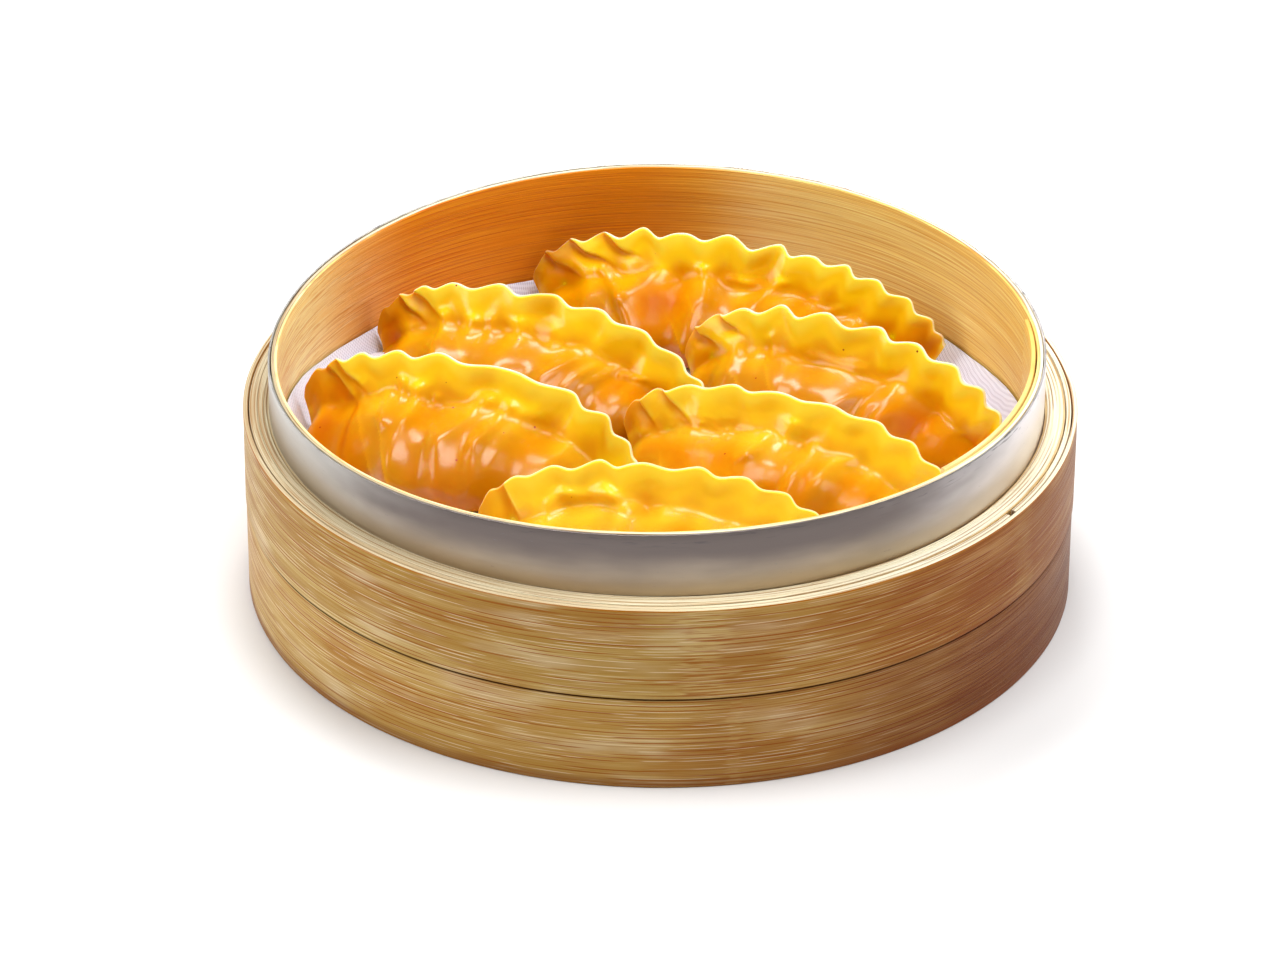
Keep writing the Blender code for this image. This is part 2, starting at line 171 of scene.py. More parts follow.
def bamboo(
    name,
    pale,
    mid,
    line,
    across="height",
    roughness=0.5,
    line_share=0.6,
    line_width=0.25,
    spacing=1.7,
    shine=None,
    painted_shading=(),
    knots=(),
    blotch=None,
    edge_tones=(),
):
    """Split bamboo: broad bands, fine fibres, and pale and dark lines that all run along the strip.

    across is what the lines are counted over: height on walls, radius on a ledge, x or y on the
    floor. painted_shading are (angle, half width, colour, share): painted light and shade, a
    colour multiplied over the strip round an angle where that side of it lies lit or in shade.
    knots are (angle, half width, share), the places of the culm's joints, with angles in degrees.
    blotch is the colour of its cloudy patches, and shine that of its pale lines and gleams, a
    painted sheen where it is paler than the strip. edge_tones are (height, half width, colour,
    share), darker bands along its edges, painted shade in a seam. Lengths are in mm.
    """
    made, shader, place = start_material(name, roughness)
    shader.inputs["Specular IOR Level"].default_value = 0.14
    parts = place.parts()
    flat = place.add("CombineXYZ", None, {0: parts[0], 1: parts[1]})
    radius = flat.add("VectorMath", {"operation": "LENGTH"}, {0: flat}, output=1)
    angle = angle_of(parts)
    counted = {"height": parts[2], "radius": radius, "x": parts[0], "y": parts[1]}[across]
    along = {"height": (1, 1), "radius": (1, 1), "y": (1, 0), "x": (0, 1)}[across]
    strip = place.add("CombineXYZ", None, {0: parts[0], 1: parts[1], 2: counted})

    def fibres(length, width, detail=2.0, fibre_roughness=0.5, **inputs):
        """Noise drawn out along the strip."""
        scale = tuple(1 / length if share else 1 / width for share in along) + (1 / width,)
        return strip.grain(scale, detail, fibre_roughness, **inputs)

    def lines(pitch, width, length, low, high):
        """Fine lines at an uneven pitch, that come and go along the strip."""
        wander = fibres(length=150, width=5 * pitch, detail=1.0) * 2.0
        count = counted * (1 / pitch) + wander
        line = 1 - count.reckon("PINGPONG", 0.5).step(width / 3, width)
        return line * fibres(length, width=0.9 * pitch, detail=1.0).step(low, high)

    def near(centre, half, core, wander):
        """A mask round an angle, full over a core share of its half width, with a ragged edge."""
        offset = (angle - centre + wander).reckon("WRAP", 180.0, -180.0)
        return 1 - offset.reckon("ABSOLUTE").step(half * core, half)

    shine = shine or pale
    bands = fibres(length=110, width=4.0, detail=1.5).step(0.36, 0.64)
    threads = fibres(length=44, width=0.24, fibre_roughness=0.6).step(0.3, 0.7)
    dark_lines = lines(spacing, line_width, length=32, low=0.45, high=0.55)
    pale_lines = lines(spacing * 0.73, line_width, length=14, low=0.48, high=0.6)
    tone = (bands * 0.5 + 0.25).mix(mid, pale)
    tone = (threads * 0.7).mix(tone, mid)
    # Cloudy patches of darker tone, and gleams in the shine colour: a painted sheen.
    if blotch:
        clouds = fibres(length=36, width=11).step(0.44, 0.64)
        gleams = fibres(length=30, width=6, output=1).step(0.48, 0.72)
        tone = (clouds * 0.55).mix(tone, blotch, "MULTIPLY")
        tone = (gleams * 0.45).mix(tone, shine)
    # The grain's pale lines take the shine colour, a painted sheen where it is paler.
    tone = (pale_lines * 0.6).mix(tone, shine)
    tone = (dark_lines * line_share).mix(tone, line)
    # Painted light and shade: round each angle the strip is tinted and its threads darkened.
    for centre, half, shade_tint, share in painted_shading:
        slow = (flat.grain((0.02, 0.02, 0.02), detail=1.0) - 0.5) * 40
        patch = near(centre, half, 0.2, slow)
        tone = (patch * threads * share * 0.6).mix(tone, line)
        tone = (patch * share).mix(tone, shade_tint, "MULTIPLY")
    # Darker bands along the edges, painted shade where one lies in a seam.
    for level, half, edge_colour, share in edge_tones:
        edge = 1 - (parts[2] - level).reckon("ABSOLUTE").step(half * 0.5, half)
        tone = (edge * share).mix(tone, edge_colour)
    for centre, half, share in knots:
        ragged = (fibres(length=14, width=1.8, detail=1.0) - 0.5) * half * 2.2
        patch = near(centre, half, 0.4, ragged)
        dashes = fibres(length=11.0, width=0.33, detail=1.5).step(0.5, 0.58)
        tone = (patch * dashes * share).mix(tone, line)
        tone = (patch * (1 - dashes) * share * 0.6).mix(tone, pale)
    feed(tone, shader, "Base Color")
    feed(threads * 0.15 + (roughness - 0.08), shader, "Roughness")
    bump(threads * 0.5 + (1 - dark_lines) * 0.5, shader, distance=0.08)
    return made


def add_piece(name, shape, surface):
    """Finishes a bmesh as a piece that rides with the basket."""
    bmesh.ops.remove_doubles(shape, verts=shape.verts, dist=SAME_PLACE * MM)
    bmesh.ops.recalc_face_normals(shape, faces=shape.faces)
    mesh = bpy.data.meshes.new(name)
    shape.to_mesh(mesh)
    shape.free()
    mesh.shade_smooth()
    mesh.set_sharp_from_angle(angle=math.radians(SHARP_ANGLE))
    mesh.materials.append(surface)
    made = bpy.data.objects.new(name, mesh)
    bpy.context.scene.collection.objects.link(made)
    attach(made, "root")
    return made


def spun(outline, start=0.0, end=360.0):
    """Spins a closed outline of (radius, height) points in mm about Z, and caps a part turn."""
    shape = bmesh.new()
    points = [shape.verts.new((radius * MM, 0.0, height * MM)) for radius, height in outline]
    edges = [shape.edges.new(pair) for pair in zip(points, points[1:] + points[:1])]
    turn = Matrix.Rotation(math.radians(start), 3, "Z")
    bmesh.ops.rotate(shape, verts=points, cent=(0, 0, 0), matrix=turn)
    whole = end - start >= 360.0
    bmesh.ops.spin(
        shape,
        geom=points + edges,
        cent=(0, 0, 0),
        axis=(0, 0, 1),
        angle=math.radians(end - start),
        steps=round(RING_STEPS * (end - start) / 360),
        use_merge=whole,
    )
    bmesh.ops.remove_doubles(shape, verts=shape.verts, dist=SAME_PLACE * MM)
    if not whole:
        bmesh.ops.holes_fill(shape, edges=[edge for edge in shape.edges if edge.is_boundary])
    return shape


def rounded(outer, inner, bottom, top, edge, rows):
    """The outline of a strip on edge, with its four corners eased and its faces in rows."""
    ease = 0.3 * edge
    heights = [bottom + edge + (top - bottom - 2 * edge) * row / rows for row in range(1, rows)]
    return [
        *((outer - edge, bottom), (outer - ease, bottom + ease), (outer, bottom + edge)),
        *((outer, height) for height in heights),
        *((outer, top - edge), (outer - ease, top - ease), (outer - edge, top)),
        *((inner + edge, top), (inner + ease, top - ease), (inner, top - edge)),
        *((inner, height) for height in reversed(heights)),
        *((inner, bottom + edge), (inner + ease, bottom + ease), (inner + edge, bottom)),
    ]


def noise_around(around, turns, level):
    """Noise from -1 to 1 on a circle, quicker with more turns."""
    return noise.noise(Vector((turns * math.cos(around), turns * math.sin(around), level)))


def sway_ring(shape, centre, sideways, upwards, seed):
    """Moves a ring onto its centre, uneven as handwork is, and warps what is above the ledge."""
    for point in shape.verts:
        around = math.atan2(point.co.y, point.co.x)
        out = Vector((math.cos(around), math.sin(around), 0.0))
        slow = noise_around(around, SLOW_SWAY, seed)
        quick = noise_around(around, QUICK_SWAY, seed + point.co.z * QUICK_SWAY_CLIMB)
        share = max(0.0, (point.co.z / MM - LEDGE_HEIGHT) / (RIM_HEIGHT - LEDGE_HEIGHT))
        warp = share * (RIM_TILT * math.cos(around) - RIM_SADDLE * math.cos(2 * around))
        free = min(1.0, point.co.z / (FLAT_FOOT * MM))
        point.co += out * (sideways * (0.6 * slow + 0.4 * quick)) * MM + centre
        point.co.z += (warp + upwards * (0.5 * slow + 0.5 * quick) * free) * MM


# The ledge is greyed at the left and tinted at the front: painted shade.
pale_edge = bamboo(
    "bamboo_pale_edge",
    pale=colour(255, 252, 232),
    mid=colour(246, 232, 194),
    line=colour(172, 112, 36),
    across="radius",
    roughness=0.6,
    line_share=0.65,
    spacing=1.0,
    painted_shading=((-165.0, 85.0, colour(208, 202, 188), 0.9), (-90.0, 45.0, colour(252, 244, 216), 0.35)),
)
core_bamboo = bamboo(
    "bamboo_core",
    pale=colour(235, 210, 160),
    mid=colour(205, 165, 105),
    line=colour(150, 90, 35),
    roughness=0.6,
)
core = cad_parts["core_hoop"]
core.data.materials.clear()
core.data.materials.append(core_bamboo)
rise = CORE_TOP + EDGES_RISE
eased = CORE_TOP + EDGES_EASED_RISE
outline = [(EDGES_OUTER, CORE_TOP), (EDGES_OUTER, eased), (EDGES_OUTER - EDGES_EASE, rise)]
for groove in GROOVES:
    outline.append((groove + GROOVE_HALF_WIDTH, rise))
    outline.append((groove, CORE_TOP + GROOVE_RISE))
    outline.append((groove - GROOVE_HALF_WIDTH, rise))
outline += [(EDGES_INNER + EDGES_EASE, rise), (EDGES_INNER, eased), (EDGES_INNER, CORE_TOP)]
shape = spun(outline)
sway_ring(shape, INNER_CENTRE * 0.5, sideways=0.1, upwards=0.12, seed=3.0)
ledge = add_piece("core_strip_edges", shape, pale_edge)

# The outer hoops: a low and a high hoop of smooth-faced split bamboo, bound round the core one
# above the other and pinned. The high one is wound twice, and its inner turn starts at a cut end.
SEAM_HEIGHT = 25.0
# The seam's dark line is painted shade; the foot is darker and the top edge orange-brown.
seam_shade = (SEAM_HEIGHT, 0.45, colour(74, 40, 16), 0.8)
darker_foot = (0.0, 3.0, colour(128, 64, 12), 0.5)
orange_top_edge = (49.75, 0.5, colour(176, 104, 16), 0.7)
# The front and right of both hoops are tinted as painted shade, darkest on the lower one.
lower_bamboo = bamboo(
    "bamboo_outer_lower",
    pale=colour(210, 180, 114),
    mid=colour(168, 121, 46),
    line=colour(152, 80, 4),
    shine=colour(234, 214, 176),
    roughness=0.42,
    line_share=0.9,
    line_width=0.18,
    spacing=1.15,
    painted_shading=((-25.0, 70.0, colour(160, 112, 68), 0.9),),
    knots=((-80.0, 1.2, 0.25),),
    blotch=colour(230, 196, 146),
    edge_tones=(seam_shade, darker_foot),
)
upper_bamboo = bamboo(
    "bamboo_outer_upper",
    pale=colour(202, 174, 108),
    mid=colour(160, 116, 42),
    line=colour(148, 78, 4),
    shine=colour(234, 214, 176),
    roughness=0.42,
    line_share=0.9,
    line_width=0.18,
    spacing=1.15,
    painted_shading=((-25.0, 70.0, colour(212, 172, 124), 0.9),),
    knots=((-84.0, 4.0, 0.6), (-32.0, 3.0, 0.2)),
    blotch=colour(230, 196, 146),
    edge_tones=(seam_shade, orange_top_edge),
)
shape = spun(rounded(outer=104.8, inner=102.35, bottom=0.0, top=24.85, edge=0.35, rows=6))
sway_ring(shape, Vector(), sideways=0.12, upwards=0.08, seed=5.0)
lower = add_piece("lower_hoop_strip", shape, lower_bamboo)
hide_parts("lower_hoop")
shape = spun(rounded(outer=105.0, inner=103.8, bottom=25.15, top=49.9, edge=0.3, rows=6))
sway_ring(shape, Vector(), sideways=0.1, upwards=0.14, seed=7.0)
upper = add_piece("upper_hoop_outer_turn", shape, upper_bamboo)
upper.data.materials.append(pale_edge)
for face in upper.data.polygons:
    faces_up = face.normal.z > 0.8
    face.material_index = 1 if faces_up else 0
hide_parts("upper_hoop")
strip = rounded(outer=103.5, inner=102.3, bottom=25.15, top=49.75, edge=0.25, rows=2)
shape = spun(strip, start=-33.2, end=325.4)
sway_ring(shape, Vector(), sideways=0.1, upwards=0.12, seed=9.0)
inner_turn = add_piece("upper_hoop_inner_turn", shape, pale_edge)
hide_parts("upper_hoop_inner_wrap")

# The rim band: a strip of thin sheet aluminium, bent round the raised inside hoop and pushed down
# between it and the core. Its sheared top edge is burred, and its face is dull and scuffed.
BURR_ABOVE = 65.0
BURR_HEIGHT = 0.16
BURR_TURNS = 40.0
aluminium, shader, place = start_material("aluminium_sheet", 0.4, metallic=1.0)
parts = place.parts()
height = parts[2]
cloud = place.grain((0.03, 0.03, 0.09), detail=3.0)
brushed = place.grain((0.08, 0.08, 3.0), detail=3.0, roughness=0.7)
scuffs = place.grain((0.25, 0.25, 0.9), detail=5.0, roughness=0.75).step(0.64, 0.72)
dent_shade = place.grain((0.14, 0.14, 1.6), roughness=0.6).step(0.6, 0.68) * height.step(62.5, 64.5)
angle = angle_of(parts) + (cloud - 0.5) * 30
front = 1 - (angle + 90).reckon("ABSOLUTE").step(30, 75)
# Painted reflections: the front is dark grey at the top and warm beige below, mirroring the
# ledge, and the sides are pale grey, lightest at the right.
face = (height + cloud * 8).step(66, 52).mix(colour(110, 101, 98), colour(190, 174, 152))
side_reflection = parts[0].step(-48, 62).mix(colour(194, 190, 184), colour(240, 234, 234))
metal = (1 - front).mix(face, side_reflection)
metal = (scuffs * 0.4).mix(metal, colour(120, 118, 122))
# Small dents near the top are painted as dark marks: painted shade.
metal = (dent_shade * 0.6).mix(metal, colour(92, 86, 88))
feed(metal, shader, "Base Color")
feed(brushed * 0.16 + cloud * 0.12 + 0.26, shader, "Roughness")
bump(brushed * 0.5 + cloud, shader, distance=0.05)
shape = spun(rounded(outer=97.5, inner=97.0, bottom=44.0, top=RIM_HEIGHT, edge=0.12, rows=8))
for point in shape.verts:
    if point.co.z > BURR_ABOVE * MM:
        around = math.atan2(point.co.y, point.co.x)
        point.co.z += BURR_HEIGHT * MM * noise_around(around, BURR_TURNS, 2.0)
sway_ring(shape, INNER_CENTRE, sideways=0.22, upwards=0.1, seed=11.0)
band = add_piece("rim_band_sheet", shape, aluminium)
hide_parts("rim_band")

# The inside hoop: a thin strip of bamboo, smooth side inwards, that stands on the floor bars and
# rises past the ledge as the rim. Its end laps over its start at the right.
# The back left is darkened orange as painted shade and a painted reflection of the dumplings;
# the back and the right are tinted warmer as painted light.
inner_bamboo = bamboo(
    "bamboo_inner",
    pale=colour(255, 244, 188),
    mid=colour(252, 222, 138),
    line=colour(206, 130, 46),
    roughness=0.38,
    line_share=0.45,
    line_width=0.18,
    spacing=1.2,
    painted_shading=(
        (114.0, 58.0, colour(236, 158, 22), 0.97),
        (92.0, 24.0, colour(255, 244, 150), 0.9),
        (25.0, 80.0, colour(250, 240, 196), 0.9),
    ),
    knots=((170.0, 24.0, 0.4),),
)
shape = spun(rounded(outer=96.7, inner=95.95, bottom=27.1, top=65.1, edge=0.15, rows=2))
sway_ring(shape, INNER_CENTRE, sideways=0.1, upwards=0.2, seed=13.0)
backing = add_piece("inner_hoop_outer_turn", shape, pale_edge)
shape = spun(rounded(outer=95.9, inner=95.2, bottom=27.1, top=65.0, edge=0.2, rows=6))
sway_ring(shape, INNER_CENTRE, sideways=0.08, upwards=0.2, seed=14.0)
inner = add_piece("inner_hoop_inner_turn", shape, inner_bamboo)
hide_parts("inner_hoop")
strip = rounded(outer=94.85, inner=93.7, bottom=38.7, top=65.4, edge=0.3, rows=6)
shape = spun(strip, start=-43.0, end=8.0)
sway_ring(shape, INNER_CENTRE, sideways=0.05, upwards=0.15, seed=15.0)
lap = add_piece("inner_hoop_lap_end", shape, inner_bamboo)
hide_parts("inner_hoop_lap")

# The floor: three bars of split bamboo in the core's sockets, with a row of thin slats across them.
# Steam comes up through the gaps between the slats.
bar_bamboo = bamboo(
    "bamboo_bars",
    pale=colour(238, 214, 160),
    mid=colour(214, 176, 112),
    line=colour(160, 104, 44),
    across="x",
    roughness=0.6,
)
slat_bamboo = bamboo(
    "bamboo_slats",
    pale=colour(240, 218, 168),
    mid=colour(218, 182, 120),
    line=colour(160, 104, 44),
    across="y",
    roughness=0.6,
)
for kind, surface in (("floor_bar", bar_bamboo), ("floor_slat", slat_bamboo)):
    for name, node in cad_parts.items():
        if name.startswith(kind):
            node.data.materials.clear()
            node.data.materials.append(surface)

# The cloth: a round of open cotton gauze, laid damp on the slats under the dumplings, with its edge
# turned up and puckered where it meets the wall, and two low folds at the left.
CLOTH_MIDDLE = 30.6
CLOTH_RADIUS = 94.6
CLOTH_THICKNESS = 0.35
CLOTH_TURN_RADIUS = 90.4
CLOTH_TURN_UP = 4.5
CLOTH_WAVE = 1.2
CLOTH_WAVES = 9
CLOTH_SEGMENTS = 216
CLOTH_ROWS = 60
CREASE_SIZE = 14.0
CREASE_HEIGHT = 0.25
PUCKER_SIZE = 3.0
PUCKER_HEIGHT = 0.15
THREAD_PITCH = 0.62
# Each fold is an angle, its half angle, a radius, its half width and its height.
CLOTH_FOLDS = ((150.0, 8.0, 86.0, 4.5, 6.5), (170.0, 28.0, 95.0, 3.0, 4.0))


def smooth_step(low, high, value):
    """A soft step from 0 at low to 1 at high."""
    share = min(1.0, max(0.0, (value - low) / (high - low)))
    return share * share * (3.0 - 2.0 * share)


cotton, shader, place = start_material("cotton_gauze", 0.95)
shader.inputs["Sheen Weight"].default_value = 0.25
shader.inputs["Subsurface Weight"].default_value = 0.25
shader.inputs["Subsurface Radius"].default_value = (1.0, 0.8, 0.8)
shader.inputs["Subsurface Scale"].default_value = 2.0 * MM
parts = place.parts()
wander = (place.grain((0.06, 0.06, 0.06)) - 0.5) * 2.4
weave = 0.5
for direction in (20, 110):
    turned = math.radians(direction)
    across = parts[0] * math.cos(turned) + parts[1] * math.sin(turned) + wander
    weave += (across * (2 * math.pi / THREAD_PITCH)).reckon("SINE") * 0.25
feed(weave.step(0.1, 0.7).mix(colour(204, 200, 218), colour(234, 232, 248)), shader, "Base Color")
bump(weave, shader, distance=0.06)

shape = bmesh.new()
bmesh.ops.create_circle(shape, radius=CLOTH_RADIUS * MM, segments=CLOTH_SEGMENTS)
rim = shape.edges[:]
for left in range(CLOTH_ROWS, 0, -1):
    grown = bmesh.ops.extrude_edge_only(shape, edges=rim)["geom"]
    rim = [item for item in grown if isinstance(item, bmesh.types.BMEdge)]
    points = [item for item in grown if isinstance(item, bmesh.types.BMVert)]
    size = (left - 1) / left
    bmesh.ops.scale(shape, vec=(size, size, 1.0), verts=points)
bmesh.ops.remove_doubles(shape, verts=shape.verts, dist=0.01 * MM)
for point in shape.verts:
    radius = point.co.length / MM
    around = math.atan2(point.co.y, point.co.x)
    turn = smooth_step(CLOTH_TURN_RADIUS, CLOTH_RADIUS, radius)
    wave = math.sin(CLOTH_WAVES * around) + 0.6 * math.sin((CLOTH_WAVES // 2) * around + 1.0)
    lift = turn * turn * CLOTH_TURN_UP + turn * CLOTH_WAVE * (1.0 + wave / 1.6)
    crease = noise.noise(point.co / (CREASE_SIZE * MM))
    pucker = noise.noise(point.co / (PUCKER_SIZE * MM)) * smooth_step(60, 90, radius)
    lift += CLOTH_MIDDLE + CREASE_HEIGHT * crease + PUCKER_HEIGHT * pucker
    for centre, half_angle, ring, half_width, high in CLOTH_FOLDS:
        off_angle = ((math.degrees(around) - centre + 180) % 360 - 180) / half_angle
        off_ring = (radius - ring) / half_width
        lift += high * math.exp(-(off_angle**2) - off_ring**2)
    point.co = Vector((point.co.x, point.co.y, lift * MM)) + INNER_CENTRE
cloth = add_piece("gauze_cloth", shape, cotton)
thick = cloth.modifiers.new("thickness", "SOLIDIFY")
thick.thickness = CLOTH_THICKNESS * MM
thick.offset = 0.0
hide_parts("steaming_cloth")

# The dumplings: half-moons of yellow dough rolled thin, folded over a moist filling and pinched
# along the round edge into a ruffled seal, steamed until glossy. They lean back on their folds in
# the cloth.
REST_HEIGHT = 31.3
SEAL_WIDTH = 11.0
SEAL_THICKNESS = 1.8
SEAL_LEAST_CHORD = 14.3
SEAL_LOOSE_SHARE = 1.15
SEAL_ENDS_HELD = 8.0
SEAL_WANDER = 0.07
SEAL_WANDER_PITCH = 9
GATHER_DEPTH = 1.0
SEAL_ARCH_LEFT = 0.8
SEAL_ARCH_RIGHT = 1.35
SEAL_END_BLUNTNESS = 0.88
FOLD_SHARE_MIDDLE = 0.62
FOLD_SHARE_ENDS = 0.31
FOLD_HEIGHT = 0.5
FLATTENED_DEPTH = 1.5
BELLY_RISE_SHARE = 0.25
BELLY_FALL_SHARE = 0.2
BELLY_FULLNESS = 0.7
BELLY_END_POWER = 0.8
RUFFLE_SKEW = 0.04
RUFFLE_SWAY = 0.28
RUFFLE_STRETCH = 0.85
GATHERS_PER_RUFFLE = 0.62
PLEAT_RETURN = 0.8
PLEAT_WIDTH = 0.09
PLEAT_EDGE = 0.006
PLEAT_OVERLAP = 0.004
PLEAT_SHADE = 0.4
PLEAT_SHADE_WIDTH = 0.05
PLEAT_FADE = 9.0
SKIN_REACH = 1.25
SKIN_HEIGHT = 34.0
LUMP_HEIGHT = 1.3
LUMP_SIZE = (8.0, 15.0)
SMALL_LUMP_HEIGHT = 0.45
SMALL_LUMP_SIZE = (4.5, 9.0)
LUMPS_SUNK = 0.4
LEFT_END_SMOOTHED = 0.7
DIP_SEEN_FROM = 0.35
DIP_SHADE = 0.5
CREST_TINT = 0.9
PLEAT_BEHIND_SHADE = 0.9
LEFT_END_SHADE = 0.5
FOLD_GAIN = 1.15
FOLD_SPREAD = 1.3
FAR_FROM_FOLD = 40.0
BLISTER_HEIGHT = 0.7
BLISTER_SIZE = 1.7
NO_PLEAT = 99.0
RINGS = 220
SIDES = 190
